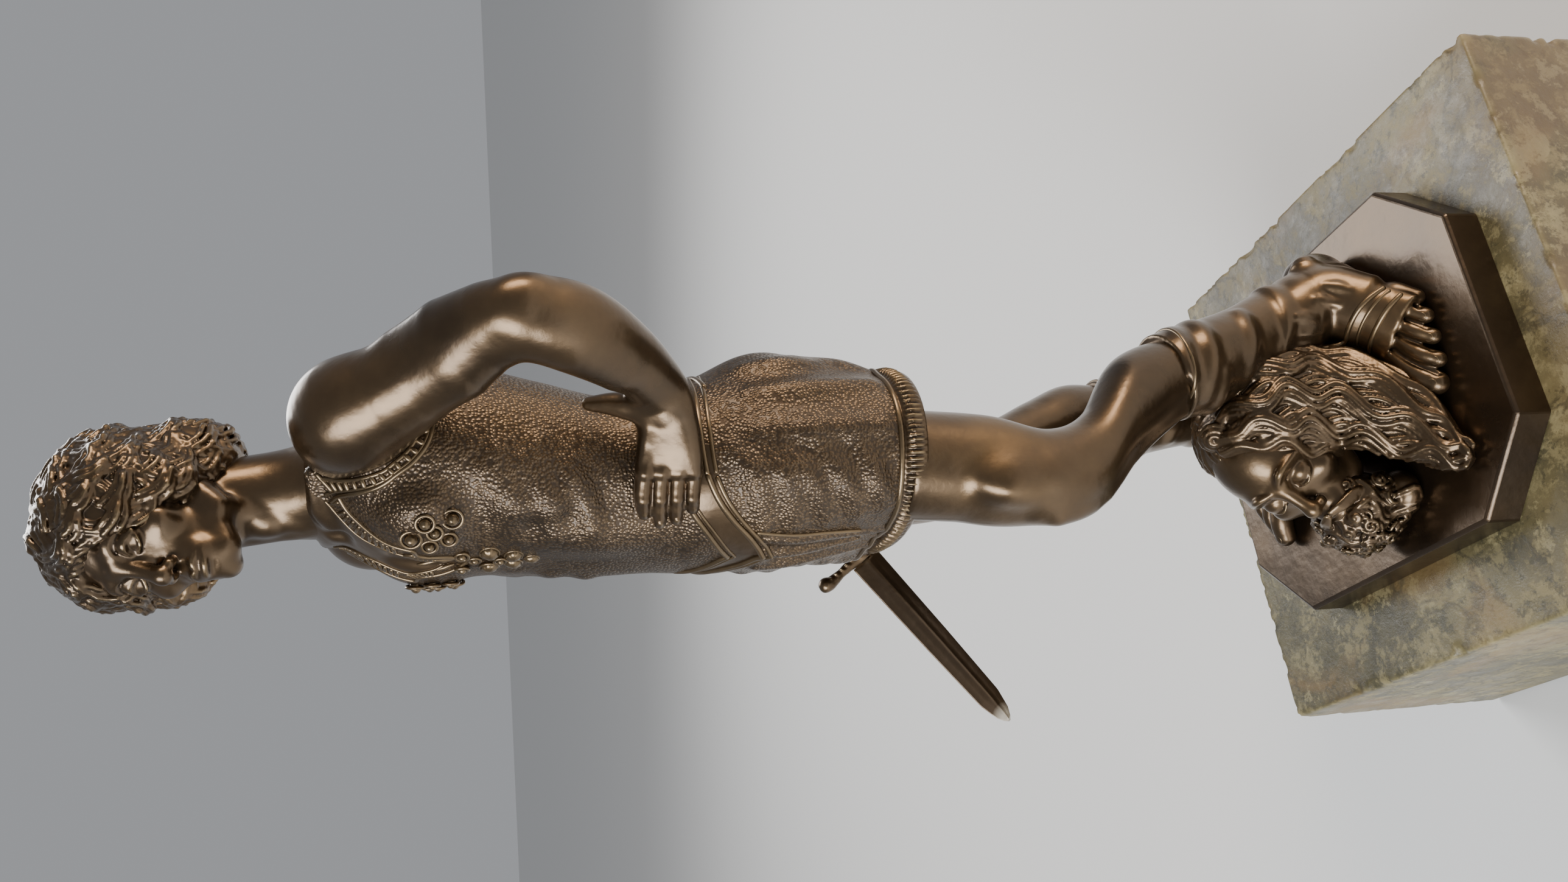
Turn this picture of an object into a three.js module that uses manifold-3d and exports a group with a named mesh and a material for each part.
// Bronze statuette of a youth with a short sword, standing over a bearded head, on a marble block.
// Millimetres, +Z up, origin at the centre of the underside. The youth faces -Y, and +X is the
// youth's left. The bronze turns on the block about one stud, and the sword draws out of the fist.
import * as THREE from "three";
import { mergeVertices } from "three/addons/utils/BufferGeometryUtils.js";
import Module from "manifold-3d";

const wasm = await Module();
wasm.setup();

// ---------------------------------------------------------------- driving dimensions
const figureHeight = 275.3; // soles to the top of the hair
const figureUnit = figureHeight / 275.3; // one figure unit in millimetres; every table below is in figure units
const stanceLength = 83; // across both feet, along X, in figure units
const stanceDepth = 67; // along Y, in figure units
const plinthMargin = 5.9; // bronze plate beyond the stance
const plinthThickness = 8.1;
const plinthCorner = 16.6; // cut off each corner, along each side
const plinthWall = 4;
const plinthDeck = 3.4; // the plate's top wall over its hollow underside
const plinthBevel = 0.6;
const marbleMargin = 12.6; // marble beyond the plate on its long sides
const marbleHeight = 60;
const marbleArris = 1.2; // eased edges of the block
const feltThickness = 1;
const feltInset = 4;
const studRadius = 2.5;
const studBossRadius = 8;
const studBite = 5; // depth of the stud in the plate's boss
const studTail = 3; // stud below the nut
const recessRadius = 13;
const recessDepth = 16;
const washerRadius = 10;
const washerThickness = 1.6;
const nutAcrossCorners = 9.2;
const nutThickness = 4;
const castWall = 3.2; // bronze left round the cores of the torso and the skirt
const skirtFloor = 9; // solid foot of the skirt, which holds the leg pins
const screwRadius = 2;
const screwHeadRadius = 3.4;
const screwHeadHeight = 2.2;
const screwBite = 7; // thread in the foot or in the trophy head
const pinRadius = 2;
const pinBite = 8; // pin on each side of its joint
const gripRadius = 2.3;
const gripLength = 15;
const guardSpan = 24;
const guardWidth = 3.4;
const guardThickness = 2.6;
const bladeLength = 49;
const bladeWidth = 8;
const bladeThickness = 2.2;
const pommelRadius = 3.1;
const seam = 0.3; // gap left between castings that meet
const runningGap = 0.1; // bronze over marble, so that it turns freely
const drill = 0.3; // radial clearance of every pin, screw and stud

const plinthLength = stanceLength * figureUnit + 2 * plinthMargin;
const plinthDepth = stanceDepth * figureUnit + 2 * plinthMargin;
const marbleSide = plinthLength + 2 * marbleMargin;
const marbleTop = feltThickness + marbleHeight;
const deckLevel = marbleTop + runningGap + plinthThickness; // where the feet stand
const reach = 2 * figureHeight; // longer than anything a cutting solid has to clear

// ---------------------------------------------------------------- solids from three.js geometry
function solidOf(geometry) {
  const bare = geometry.index ? geometry : geometry.clone();
  const positions = new THREE.BufferGeometry();
  positions.setAttribute("position", bare.getAttribute("position"));
  if (bare.index) positions.setIndex(bare.index);
  const merged = mergeVertices(positions, 1e-4);
  const vertProperties = new Float32Array(merged.attributes.position.array);
  const triVerts = new Uint32Array(merged.index.array);
  return new wasm.Manifold(new wasm.Mesh({ numProp: 3, vertProperties, triVerts }));
}

function geometryOf(solid) {
  const made = solid.getMesh();
  const vertices = new Float32Array(made.numVert * 3);
  for (let i = 0; i < made.numVert; i++)
    for (let k = 0; k < 3; k++) vertices[3 * i + k] = made.vertProperties[made.numProp * i + k];
  const geometry = new THREE.BufferGeometry();
  geometry.setAttribute("position", new THREE.BufferAttribute(vertices, 3));
  geometry.setIndex(new THREE.BufferAttribute(made.triVerts, 1));
  geometry.computeVertexNormals();
  return geometry;
}

const join = (...solids) => solids.reduce((whole, next) => whole.add(next));
const cut = (solid, ...tools) => tools.reduce((left, tool) => left.subtract(tool), solid);
const vector = (point) => new THREE.Vector3(...point);
const inFigure = (point) => vector(point).multiplyScalar(figureUnit);

// A closed skin over rings of equally many points, each wound about the way to the next ring.
function skin(rings) {
  const count = rings[0].length;
  const positions = rings.flat();
  const faces = [];
  for (let i = 0; i + 1 < rings.length; i++)
    for (let j = 0; j < count; j++) {
      const a = i * count + j;
      const b = i * count + ((j + 1) % count);
      faces.push(a, b, b + count, a, b + count, a + count);
    }
  const ends = [rings[0], rings[rings.length - 1]];
  ends.forEach((ring, end) => {
    const middle = new THREE.Vector3();
    ring.forEach((point) => middle.addScaledVector(point, 1 / count));
    positions.push(middle);
    const first = end ? (rings.length - 1) * count : 0;
    for (let j = 0; j < count; j++) {
      const a = first + j;
      const b = first + ((j + 1) % count);
      faces.push(...(end ? [positions.length - 1, a, b] : [positions.length - 1, b, a]));
    }
  });
  const geometry = new THREE.BufferGeometry().setFromPoints(positions);
  geometry.setIndex(faces);
  return solidOf(geometry);
}

// Stations are [x, y, z, half width, half depth] in figure units, joined by a smooth curve. The
// half width lies along `side`, and every section is square to the way, or level if it says so.
function limb(stations, { side = [1, 0, 0], steps = 10, sides = 14, grow = 0, level = false } = {}) {
  const way = new THREE.CatmullRomCurve3(stations.map((s) => inFigure(s.slice(0, 3))));
  const sizes = new THREE.CatmullRomCurve3(
    stations.map((s) => new THREE.Vector3(s[3], s[4], 0).multiplyScalar(figureUnit)),
  );
  const rings = [];
  for (let i = 0; i <= steps; i++) {
    const t = i / steps;
    const centre = way.getPoint(t);
    const along = level ? new THREE.Vector3(0, 0, 1) : way.getTangent(t);
    if (level && stations[0][2] > stations[stations.length - 1][2]) along.negate();
    const u = vector(side).addScaledVector(along, -vector(side).dot(along)).normalize();
    const v = along.clone().cross(u);
    const half = sizes.getPoint(t);
    const ring = [];
    for (let j = 0; j < sides; j++) {
      const turn = (2 * Math.PI * j) / sides;
      const point = centre.clone();
      point.addScaledVector(u, (half.x + grow) * Math.cos(turn));
      point.addScaledVector(v, (half.y + grow) * Math.sin(turn));
      ring.push(point);
    }
    rings.push(ring);
  }
  return skin(rings);
}

function ball(centre, halves, turn = [0, 0, 0], detail = 14) {
  const geometry = new THREE.SphereGeometry(1, detail, Math.round(detail * 0.7));
  geometry.scale(...halves);
  const spin = new THREE.Matrix4().makeRotationFromEuler(new THREE.Euler(...turn));
  geometry.applyMatrix4(spin);
  geometry.translate(centre.x, centre.y, centre.z);
  return solidOf(geometry);
}

// A round bar from one point to another.
function bar(from, to, radius, sides = 14) {
  const geometry = new THREE.CylinderGeometry(radius, radius, from.distanceTo(to), sides);
  const way = to.clone().sub(from).normalize();
  const turn = new THREE.Quaternion().setFromUnitVectors(new THREE.Vector3(0, 1, 0), way);
  geometry.applyQuaternion(turn);
  const middle = from.clone().lerp(to, 0.5);
  geometry.translate(middle.x, middle.y, middle.z);
  return solidOf(geometry);
}

// A profile of [radius, height] turned about a vertical axis through `foot`.
function turned(profile, foot, sides = 20) {
  const geometry = new THREE.LatheGeometry(profile.map(([r, h]) => new THREE.Vector2(r, h)), sides);
  geometry.rotateX(Math.PI / 2);
  geometry.translate(foot.x, foot.y, foot.z);
  return solidOf(geometry);
}

function slab(outline, height, level, hole = 0) {
  const shape = new THREE.Shape(outline.map(([x, y]) => new THREE.Vector2(x, y)));
  if (hole) shape.holes.push(new THREE.Path().absarc(0, 0, hole, 0, 2 * Math.PI, true));
  const geometry = new THREE.ExtrudeGeometry(shape, {
    depth: height,
    bevelEnabled: false,
    curveSegments: 12,
  });
  geometry.translate(0, 0, level);
  return solidOf(geometry);
}

const box = (low, high) => {
  const geometry = new THREE.BoxGeometry(high.x - low.x, high.y - low.y, high.z - low.z);
  geometry.translate((low.x + high.x) / 2, (low.y + high.y) / 2, (low.z + high.z) / 2);
  return solidOf(geometry);
};
const below = (level) => box(new THREE.Vector3(-reach, -reach, -reach), new THREE.Vector3(reach, reach, level));

// ---------------------------------------------------------------- the block and its fixing
const squareOutline = (half, corner) => cutCorners(half, half, corner);
function cutCorners(halfX, halfY, corner) {
  return [
    [halfX - corner, -halfY],
    [halfX, -halfY + corner],
    [halfX, halfY - corner],
    [halfX - corner, halfY],
    [-halfX + corner, halfY],
    [-halfX, halfY - corner],
    [-halfX, -halfY + corner],
    [-halfX + corner, -halfY],
  ];
}

// A slab whose upper edge is bevelled.
function easedSlab(outline, height, level, bevel) {
  const ring = (inset, z) => {
    const halfX = Math.max(...outline.map(([x]) => x));
    const halfY = Math.max(...outline.map(([, y]) => y));
    return outline.map(([x, y]) => new THREE.Vector3((x * (halfX - inset)) / halfX, (y * (halfY - inset)) / halfY, z));
  };
  return skin([ring(0, level), ring(0, level + height - bevel), ring(bevel, level + height)]);
}

function marbleBlock() {
  const body = easedSlab(squareOutline(marbleSide / 2, marbleArris), marbleHeight, feltThickness, marbleArris);
  const bore = studRadius + 2 * drill;
  const foot = new THREE.Vector3(0, 0, feltThickness - 1);
  const hollow = turned(
    [
      [0, 0],
      [recessRadius, 0],
      [recessRadius, recessDepth + 1],
      [bore, recessDepth + 1],
      [bore, marbleHeight + 2],
      [0, marbleHeight + 2],
    ],
    foot,
  );
  return cut(body, hollow);
}

const feltPad = () =>
  slab(squareOutline(marbleSide / 2 - feltInset, marbleArris), feltThickness, 0, recessRadius);

const washerTop = feltThickness + recessDepth - runningGap;
const nutTop = washerTop - washerThickness;
const studFoot = nutTop - nutThickness - studTail;
const circle = (radius, sides) =>
  Array.from({ length: sides }, (_, i) => {
    const turn = (2 * Math.PI * i) / sides;
    return [radius * Math.cos(turn), radius * Math.sin(turn)];
  });
const anchorWasher = () => slab(circle(washerRadius, 24), washerThickness, nutTop, studRadius + drill);
const anchorNut = () => slab(circle(nutAcrossCorners / 2, 6), nutThickness, nutTop - nutThickness, studRadius + drill);
const studTop = marbleTop + runningGap + studBite;
const anchorStud = () => bar(new THREE.Vector3(0, 0, studFoot), new THREE.Vector3(0, 0, studTop), studRadius, 16);

// ---------------------------------------------------------------- the bronze, above deckLevel
// Everything from here to the assembly is placed from the top of the plate.
const leftAnkle = [15.6, 18, 15];
const rightAnkle = [-18, 10, 15];

function screw(place) {
  const head = new THREE.Vector3(place.x, place.y, -plinthDeck - screwHeadHeight);
  return turned(
    [
      [0, 0],
      [screwHeadRadius, 0],
      [screwHeadRadius, screwHeadHeight],
      [screwRadius, screwHeadHeight],
      [screwRadius, screwHeadHeight + plinthDeck + screwBite],
      [0, screwHeadHeight + plinthDeck + screwBite],
    ],
    head,
    14,
  );
}
const screwBore = (place) =>
  bar(
    new THREE.Vector3(place.x, place.y, -plinthDeck - 1),
    new THREE.Vector3(place.x, place.y, screwBite + drill),
    screwRadius + drill,
  );
const screwPlaces = {
  foot_screw_left: inFigure([16, 20, 0]),
  foot_screw_right: inFigure([-18.5, 9, 0]),
  trophy_screw_front: inFigure([3, -25, 0]),
  trophy_screw_back: inFigure([10, -12, 0]),
};
const screwBores = Object.values(screwPlaces).map(screwBore);

function plinthPlate() {
  const outline = cutCorners(plinthLength / 2, plinthDepth / 2, plinthCorner);
  const plate = easedSlab(outline, plinthThickness, -plinthThickness, plinthBevel);
  const inner = cutCorners(plinthLength / 2 - plinthWall, plinthDepth / 2 - plinthWall, plinthCorner);
  const hollowTop = -plinthDeck;
  const hollow = cut(
    slab(inner, plinthThickness - plinthDeck + 1, -plinthThickness - 1),
    bar(new THREE.Vector3(0, 0, -plinthThickness - 2), new THREE.Vector3(0, 0, hollowTop + 1), studBossRadius, 20),
  );
  const studBore = bar(
    new THREE.Vector3(0, 0, -plinthThickness - 1),
    new THREE.Vector3(0, 0, -plinthThickness + studBite + drill),
    studRadius + drill,
    16,
  );
  return cut(plate, hollow, studBore, ...screwBores);
}

// Trunk stations are level, from the waist seam up, and the skirt's go from its hem up.
const waistSeam = 160;
const torsoStations = [
  [0, -11.8, waistSeam, 21.3, 17.8],
  [0, -12.3, 172, 20, 16.4],
  [0, -10.4, 185, 22, 17.8],
  [0, -9, 197, 24.4, 19.4],
  [0, -9.2, 207, 24.8, 19.4],
  [0, -9.2, 216, 24, 16.6],
  [0, -9.4, 223, 19.6, 11.6],
  [0, -10.8, 229, 12.6, 8.6],
  [0, -12, 232, 10, 8.6],
];
const hemLevel = 113.5;
const skirtStations = [
  [0, -9.4, hemLevel, 27, 17.6],
  [0, -9.4, hemLevel + 5, 26.4, 17.4],
  [0, -9.4, 127, 25.6, 19],
  [0, -9.8, 139, 25.4, 20.9],
  [0, -10.4, 150, 24, 20],
  [0, -11.8, waistSeam, 21.9, 18.4],
];
const hipTurn = [Math.cos(0.14), -Math.sin(0.14), 0]; // the youth's left hip leads
const trunkSides = 22;
const shrink = (stations, by) => stations.map(([x, y, z, a, b]) => [x, y, z, a - by, b - by]);
const torsoTop = torsoStations[torsoStations.length - 1][2];

const torsoOutside = (grow = 0) => limb(torsoStations, { steps: 13, sides: trunkSides, grow, level: true });
const skirtOutside = (grow = 0) =>
  limb(skirtStations, { side: hipTurn, steps: 9, sides: trunkSides, grow, level: true });

// The core of a casting: its own stations, shrunk by the wall, between two heights.
function core(stations, side, low, high) {
  const inner = limb(shrink(stations, castWall / figureUnit), { side, steps: 9, sides: 16, level: true });
  const room = box(new THREE.Vector3(-reach, -reach, low), new THREE.Vector3(reach, reach, high));
  return inner.intersect(room);
}

const waistLevel = waistSeam * figureUnit;
function pinBetween(joint, way) {
  const step = vector(way).normalize().multiplyScalar(pinBite);
  const from = joint.clone().sub(step);
  const to = joint.clone().add(step);
  const spare = vector(way).normalize().multiplyScalar(drill);
  return {
    pin: bar(from, to, pinRadius),
    bore: bar(from.clone().sub(spare), to.clone().add(spare), pinRadius + drill),
  };
}
const pins = {
  leg_pin_left: pinBetween(inFigure([13.5, -15, hemLevel]), [0, 0, 1]),
  leg_pin_right: pinBetween(inFigure([-13, -7.5, hemLevel]), [0, 0, 1]),
  shoulder_pin_left: pinBetween(inFigure([22.5, -8.5, 214]), [1, 0, 0]),
  shoulder_pin_right: pinBetween(inFigure([-22.5, -8.5, 214]), [1, 0, 0]),
  neck_pin: pinBetween(inFigure([0, -12, torsoTop]), [0, 0, 1]),
};
const pinBores = Object.values(pins).map((p) => p.bore);

const socketLevel = 208; // the torso is solid above this, to hold the shoulder and neck pins
function torsoCasting() {
  const hollow = core(torsoStations, [1, 0, 0], waistLevel - 1, (socketLevel - castWall - pinRadius) * figureUnit);
  return cut(torsoOutside(), hollow, ...pinBores, below(waistLevel + seam));
}
function skirtCasting() {
  const hollow = core(skirtStations, hipTurn, hemLevel * figureUnit + skirtFloor, waistLevel + 1);
  return cut(skirtOutside(), hollow, ...pinBores);
}
// The collar of the Roman joint, half in the skirt's core and half in the torso's.
const collarHeight = 12;
const collarWall = 2;
function waistCollar() {
  const [, y, , a, b] = torsoStations[1];
  const ring = (inset, z) => [0, y, z, a - inset, b - inset];
  const around = (inset, half) =>
    limb([ring(inset, waistSeam - half), ring(inset, waistSeam), ring(inset, waistSeam + half)], {
      steps: 2,
      sides: 16,
      level: true,
    });
  const outer = (castWall + 1.2) / figureUnit;
  const inner = outer + collarWall / figureUnit;
  const half = collarHeight / 2 / figureUnit;
  return cut(around(outer, half), around(inner, half + 1));
}

// ---------------------------------------------------------------- legs, boots and feet
const thighGap = seam / figureUnit;
const leftLeg = [
  [13.5, -15.5, hemLevel - thighGap, 11.4, 11.4],
  [15.5, -18, 98, 10.6, 11],
  [18, -21.2, 86, 9.2, 9.8],
  [17.8, -17.4, 76, 8.8, 10.2],
  [16.6, -6.4, 66, 9.4, 12],
  [15.4, 1.2, 53, 8.4, 9.4],
  [15.2, 4.5, 44, 7.6, 8],
];
const rightLeg = [
  [-13, -7.5, hemLevel - thighGap, 11.8, 12],
  [-14, -6.5, 98, 11, 11.2],
  [-15.2, -4.5, 84, 9.2, 9.8],
  [-16.4, 1.5, 72, 8.6, 9],
  [-17.2, 5.4, 62, 8.8, 9.8],
  [-17.8, 7, 53, 7.8, 8.4],
  [-17.9, 7.2, 44, 7.4, 8],
];
const leftBoot = [
  [15.2, 1.9, 51.5, 11, 11],
  [15.2, 4.2, 45, 10.2, 10.4],
  [15.4, 9.2, 33, 8.6, 8.8],
  [15.6, 15, 21, 8, 8.6],
  [15.8, 19.5, 8, 7.6, 9],
];
const rightBoot = [
  [-17.8, 7, 51.5, 11, 11],
  [-17.9, 7.2, 45, 10.2, 10.2],
  [-18, 8.2, 33, 8.4, 8.6],
  [-18, 9.4, 21, 7.8, 8.4],
  [-18, 10.4, 8, 7.4, 9],
];
// A foot from heel to toes, along `way` from the heel, in figure units.
function foot({ heel, way, toes }, grow) {
  const forward = vector(way).normalize();
  const across = new THREE.Vector3(0, 0, 1).cross(forward);
  const at = (along, sideways, z) => {
    const point = vector(heel).addScaledVector(forward, along).addScaledVector(across, sideways);
    return [point.x, point.y, z];
  };
  const side = across.toArray();
  const sole = limb(
    [
      [...at(-1, 0, 6), 5.2, 5.8],
      [...at(6, 0, 7.5), 7.2, 7.5],
      [...at(16, 0, 7.5), 7.4, 7.5],
      [...at(26, 0, 5.2), 8.6, 5.2],
      [...at(31, 0, 3.8), 8.8, 3.8],
    ],
    { side, steps: 8, sides: 14, grow },
  );
  const digits = toes.map(([tip, offset], i) => {
    const half = i ? 1.9 : 2.6;
    return limb(
      [
        [...at(tip - 11, offset * 0.85, 3.2), half, 2.6],
        [...at(tip - 3, offset, 2.8), half, 2.4],
        [...at(tip, offset, 2.2), half * 0.8, 1.7],
      ],
      { side, steps: 3, sides: 8, grow },
    );
  });
  return join(sole, ...digits);
}
// Each toe: how far its tip is ahead of the heel, and how far to the side.
const leftFoot = {
  heel: [12, 27.5, 0],
  way: [0.62, -0.785, 0],
  toes: [[44.6, -6], [41.4, -1.7], [37.4, 1.8], [33.6, 4.8], [29.4, 7.2]],
};
const rightFoot = {
  heel: [-14.5, 17, 0],
  way: [-0.53, -0.848, 0],
  toes: [[42.4, 7.2], [40.8, 2.9], [38.8, -1], [36.4, -4.7], [33.4, -7.9]],
};

function leg(upper, boot, lastPart, ankle, grow = 0) {
  const shaft = limb(boot, { steps: 8, grow });
  const ankleBall = ball(inFigure(ankle), [8, 8.4, 8.6].map((r) => r * figureUnit + grow));
  const whole = join(limb(upper, { steps: 11, grow, level: true }), shaft, ankleBall, foot(lastPart, grow));
  return cut(whole, below(0));
}
const legLeft = (grow) => leg(leftLeg, leftBoot, leftFoot, leftAnkle, grow);
const legRight = (grow) => leg(rightLeg, rightBoot, rightFoot, rightAnkle, grow);

// ---------------------------------------------------------------- sword
// In the fist, the blade points forwards and down, and its width lies along the guard.
const guardCentre = inFigure([-33, -18.8, 111]);
const bladeWay = vector([-0.098, -0.786, -0.611]).normalize();
const guardWay = vector([0, 0.54, -0.842]);
guardWay.addScaledVector(bladeWay, -guardWay.dot(bladeWay)).normalize();
const flatWay = bladeWay.clone().cross(guardWay);

// A bar of sections along the blade's way: each is [distance, half width, half thickness].
function forged(sections, outline, grow = 0) {
  return skin(
    sections.map(([along, halfWidth, halfThick]) =>
      outline.map(([w, t]) =>
        guardCentre
          .clone()
          .addScaledVector(bladeWay, along)
          .addScaledVector(guardWay, -w * (halfWidth + grow))
          .addScaledVector(flatWay, t * (halfThick + grow)),
      ),
    ),
  );
}
const lozenge = [[1, 0], [0, 1], [-1, 0], [0, -1]].map(([w, t]) => [w, -t]);
const bladeRoot = guardThickness / 2 + 0.05;
const swordBlade = () =>
  forged(
    [
      [bladeRoot, bladeWidth / 2, bladeThickness / 2],
      [bladeRoot + 0.5 * bladeLength, 0.44 * bladeWidth, 0.44 * bladeThickness],
      [bladeRoot + 0.86 * bladeLength, 0.4 * bladeWidth, 0.36 * bladeThickness],
      [bladeRoot + 0.96 * bladeLength, 0.24 * bladeWidth, 0.26 * bladeThickness],
      [bladeRoot + bladeLength, 0.08 * bladeWidth, 0.1 * bladeThickness],
    ],
    lozenge,
  );
const octagon = circle(1, 8).map(([w, t]) => [w, -t]);
const swordGuard = (grow = 0) => {
  const quillon = guardSpan / 2;
  const wide = guardWidth / 2 + grow;
  const thick = guardThickness / 2 + grow;
  const stations = [-1, -0.86, -0.7, 0, 0.7, 0.86, 1].map((share) => ({
    share,
    flare: Math.abs(share) > 0.8 ? 1.15 : Math.abs(share) > 0.5 ? 0.72 : 1,
  }));
  return skin(
    stations.map(({ share, flare }) =>
      octagon.map(([w, t]) =>
        guardCentre
          .clone()
          .addScaledVector(guardWay, share * quillon)
          .addScaledVector(flatWay, w * wide * flare)
          .addScaledVector(bladeWay, -t * thick * flare),
      ),
    ),
  );
};
const gripStart = -guardThickness / 2;
const alongSword = (distance) => guardCentre.clone().addScaledVector(bladeWay, distance);
const swordGrip = (grow = 0) =>
  bar(alongSword(gripStart + grow), alongSword(gripStart - gripLength - grow), gripRadius + grow);
const pommelCentre = alongSword(gripStart - gripLength - pommelRadius);
const swordPommel = (grow = 0) =>
  ball(pommelCentre, [pommelRadius + grow, pommelRadius + grow, pommelRadius + grow], [0, 0, 0], 12);

// ---------------------------------------------------------------- arms
const leftUpperArm = [
  [15, -9, 222, 8, 8],
  [25, -7.6, 218.3, 10.8, 11.2],
  [31.4, -6, 211.4, 9, 9.2],
  [37.5, -4.2, 204.5, 7.4, 7.6],
  [45, -2, 197, 6.8, 7],
  [50.4, -1.4, 190.8, 6.2, 6.6],
];
const leftForearm = [
  [50.8, -1.2, 189.8, 6.2, 6.6],
  [47.5, -2, 180.5, 6.6, 7.2],
  [39.5, -3.8, 171.2, 5.6, 6.2],
  [31, -7, 164.4, 4.2, 5.4],
  [27.5, -11, 163.3, 3.4, 5.8],
  [23.2, -17, 163, 2.6, 6.4],
];
const fingerRows = [4.7, 1.6, -1.5, -4.5];
function leftHand() {
  const fingers = fingerRows.map((row, i) => {
    const tip = [15.2, 14, 14.6, 16.4][i];
    return limb(
      [
        [23.6, -16.4, 163 + row, 1.9, 1.7],
        [19.6, -21.8, 163.2 + row * 0.96, 1.8, 1.6],
        [tip, -24.6, 163.2 + row * 0.92, 1.4, 1.2],
      ],
      { side: [0, 0, 1], steps: 3, sides: 8 },
    );
  });
  const thumb = limb(
    [
      [28.5, -8.4, 166, 2.6, 2.6],
      [26.4, -8, 172.5, 2.2, 2.2],
      [24.2, -7.8, 178, 1.4, 1.4],
    ],
    { side: [1, 0, 0], steps: 3, sides: 8 },
  );
  return join(thumb, ...fingers);
}
function armLeft() {
  const upper = limb(leftUpperArm, { side: [0, 1, 0], steps: 9 });
  const lower = limb(leftForearm, { side: [1, 0, 0.4], steps: 9 });
  const elbow = ball(inFigure([50.6, -0.8, 189.6]), [6.3, 6.5, 6.6].map((r) => r * figureUnit));
  const whole = join(upper, lower, elbow, leftHand());
  return cut(whole, torsoOutside(seam), skirtOutside(seam), ...pinBores);
}
const rightArmStations = [
  [-15, -9, 222, 8, 8],
  [-24.5, -8, 218, 10, 10.2],
  [-28, -6.6, 205, 8.6, 8.8],
  [-30.5, -4.6, 190, 7.2, 7.6],
  [-32.5, -3, 172, 6.4, 6.8],
  [-33.2, -4.6, 158, 6.2, 6.8],
  [-33, -7.4, 142, 4.8, 5.2],
  [-32.8, -9.6, 128, 3.8, 4.4],
  [-32.6, -11, 121, 4.6, 5.6],
];
const fistHalves = [5.4, 6.4, 6.6];
function armRight() {
  const arm = limb(rightArmStations, { side: [0, 1, 0], steps: 16 });
  const middle = alongSword(gripStart - gripLength / 2);
  const fist = ball(middle, fistHalves.map((r) => r * figureUnit), [0.35, 0, 0]);
  const tools = [swordGrip(drill), swordGuard(seam), swordPommel(seam)];
  return cut(join(arm, fist), torsoOutside(seam), skirtOutside(seam), ...tools, ...pinBores);
}

// ---------------------------------------------------------------- head and trophy head
function headCasting() {
  const neck = limb(
    [
      [0, -11.8, torsoTop + thighGap, 9.4, 8.2],
      [0.4, -12.4, 236, 7.4, 7.6],
      [1, -14, 246, 7.2, 7.6],
    ],
    { steps: 4, level: true },
  );
  const skull = ball(inFigure([1.6, -19.6, 257]), [11, 13.5, 15].map((r) => r * figureUnit), [0.06, 0, 0.5], 18);
  const jaw = ball(inFigure([6, -22.8, 246.4]), [7, 7.4, 8.6].map((r) => r * figureUnit));
  const nose = ball(inFigure([10.1, -30.8, 252.8]), [1.6, 2.4, 4].map((r) => r * figureUnit), [0.2, 0, 0.64], 8);
  const cap = ball(inFigure([0.3, -15.4, 260.3]), [16.4, 17.8, 15].map((r) => r * figureUnit), [0, 0, 0.5], 18);
  const nape = ball(inFigure([-1, -9.4, 248]), [14, 11.2, 11.6].map((r) => r * figureUnit), [0, 0, 0.5], 16);
  const faceWindow = ball(inFigure([11.6, -33.2, 252]), [9.5, 9.6, 12.4].map((r) => r * figureUnit), [0, 0, 0.64], 16);
  const hair = cut(join(cap, nape), faceWindow);
  const whole = cut(join(neck, skull, jaw, nose, hair), below((torsoTop + thighGap) * figureUnit));
  return cut(whole, torsoOutside(seam), ...pinBores);
}

const trophyTilt = -0.4; // the fallen head leans back
const trophyYaw = 0.4; // and faces a little to +X
function trophyHead() {
  const turn = [trophyTilt, 0, trophyYaw];
  const part = (centre, halves, detail = 14, spin = turn) =>
    ball(inFigure(centre), halves.map((r) => r * figureUnit), spin, detail);
  const skull = part([4, -11.5, 22.5], [12.2, 13.6, 17.6], 18);
  const nose = part([10.4, -26.6, 24.2], [2, 3.2, 4.6], 8);
  const beard = part([4.5, -26.5, 8.4], [11, 10.4, 9.6], 14, [0, 0, 0]);
  const forelock = part([5, -8.5, 33.4], [12.5, 8.8, 8.4], 14, [0, 0, 0]);
  const farHair = part([-6, -6, 15], [8, 12, 15.5], 14, [0, 0, 0]);
  const nearHair = part([14, -4.5, 21], [8, 12, 17], 14, [-0.25, 0, 0]);
  const lock = limb(
    [
      [15, -4, 20, 8, 8],
      [20, -9.5, 12, 9, 8],
      [25.5, -16.5, 6.5, 7.5, 6],
      [30.5, -23, 3, 5, 3.6],
      [35, -27, 1.6, 2.4, 1.8],
    ],
    { side: [0, 1, 0], steps: 7, sides: 10 },
  );
  const whole = join(skull, nose, beard, forelock, farHair, nearHair, lock);
  return cut(whole, below(0), legLeft(seam), legRight(seam), ...screwBores);
}

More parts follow.
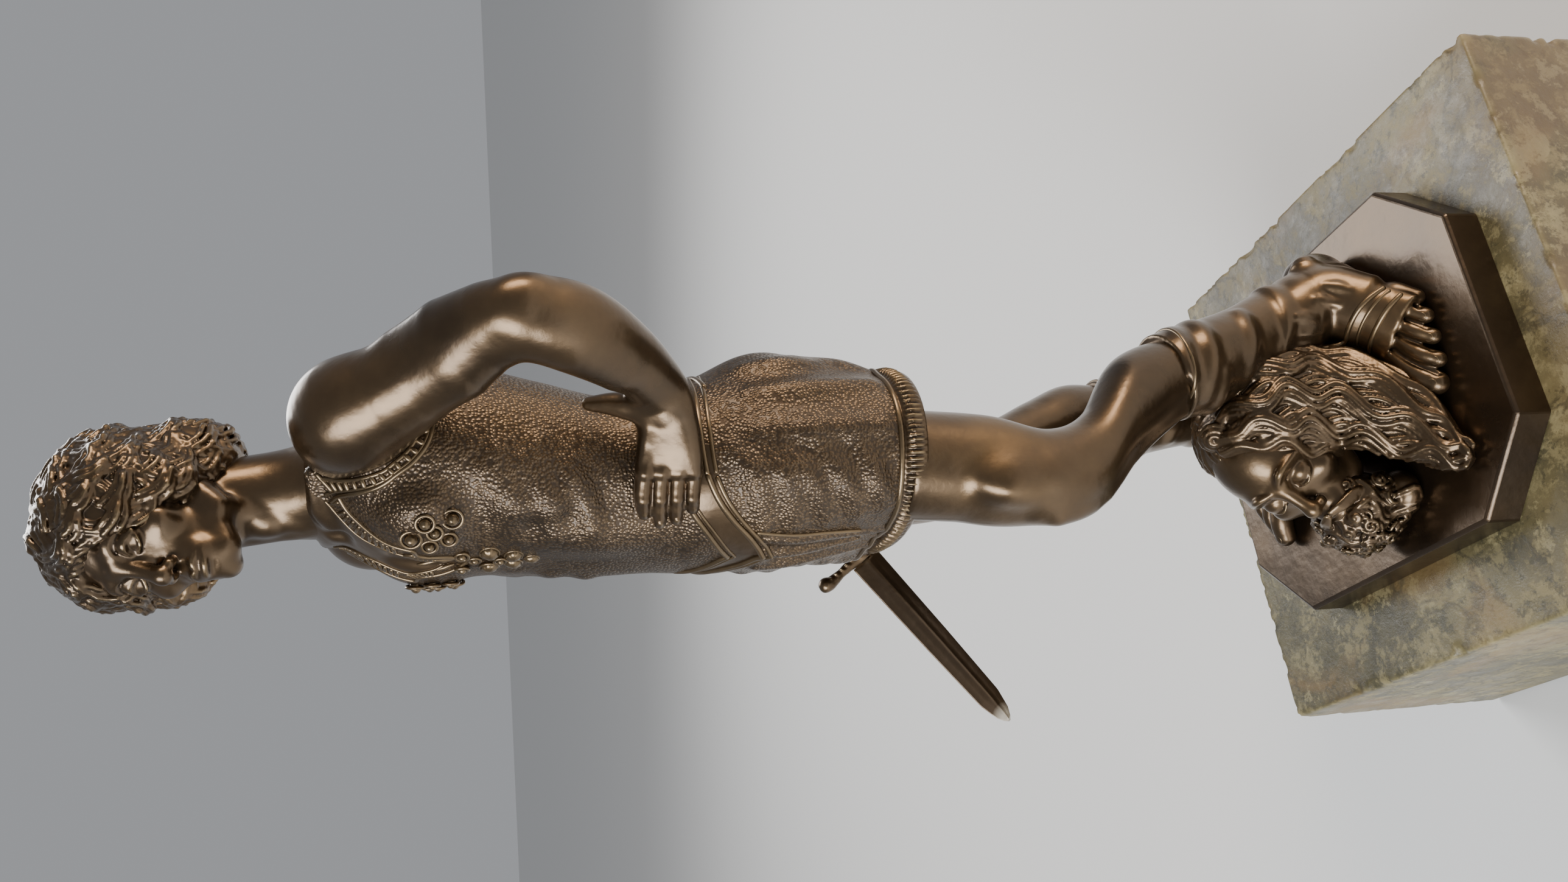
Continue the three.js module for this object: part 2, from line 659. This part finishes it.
// ---------------------------------------------------------------- assembly
const finishes = {
  bronze: { color: 0x3a2418, metalness: 1, roughness: 0.34 },
  steel: { color: 0x8a8c8e, metalness: 1, roughness: 0.4 },
  marble: { color: 0x7d7a64, metalness: 0, roughness: 0.45 },
  felt: { color: 0x2c3a2c, metalness: 0, roughness: 0.95 },
};
function piece(name, solid, finish) {
  const mesh = new THREE.Mesh(geometryOf(solid), new THREE.MeshStandardMaterial(finishes[finish]));
  mesh.name = name;
  return mesh;
}

const statuette = new THREE.Group();
statuette.add(piece("marble_block", marbleBlock(), "marble"));
statuette.add(piece("base_felt", feltPad(), "felt"));
statuette.add(piece("anchor_stud", anchorStud(), "steel"));
statuette.add(piece("anchor_washer", anchorWasher(), "steel"));
statuette.add(piece("anchor_nut", anchorNut(), "steel"));

const bronze = new THREE.Group();
bronze.position.z = deckLevel;
bronze.add(piece("plinth_plate", plinthPlate(), "bronze"));
bronze.add(piece("leg_left", cut(legLeft(0), ...pinBores, ...screwBores), "bronze"));
bronze.add(piece("leg_right", cut(legRight(0), ...pinBores, ...screwBores), "bronze"));
bronze.add(piece("skirt_casting", skirtCasting(), "bronze"));
bronze.add(piece("torso_casting", torsoCasting(), "bronze"));
bronze.add(piece("waist_collar", waistCollar(), "bronze"));
bronze.add(piece("head_casting", headCasting(), "bronze"));
bronze.add(piece("arm_left", armLeft(), "bronze"));
bronze.add(piece("arm_right", armRight(), "bronze"));
bronze.add(piece("trophy_head", trophyHead(), "bronze"));
bronze.add(piece("sword_blade", swordBlade(), "bronze"));
bronze.add(piece("sword_guard", cut(swordGuard(), swordBlade()), "bronze"));
bronze.add(piece("sword_grip", cut(swordGrip(), swordGuard(seam)), "bronze"));
bronze.add(piece("sword_pommel", cut(swordPommel(), swordGrip(seam)), "bronze"));
for (const [name, place] of Object.entries(screwPlaces)) bronze.add(piece(name, screw(place), "steel"));
for (const [name, { pin }] of Object.entries(pins)) bronze.add(piece(name, pin, "steel"));
statuette.add(bronze);

export default statuette;
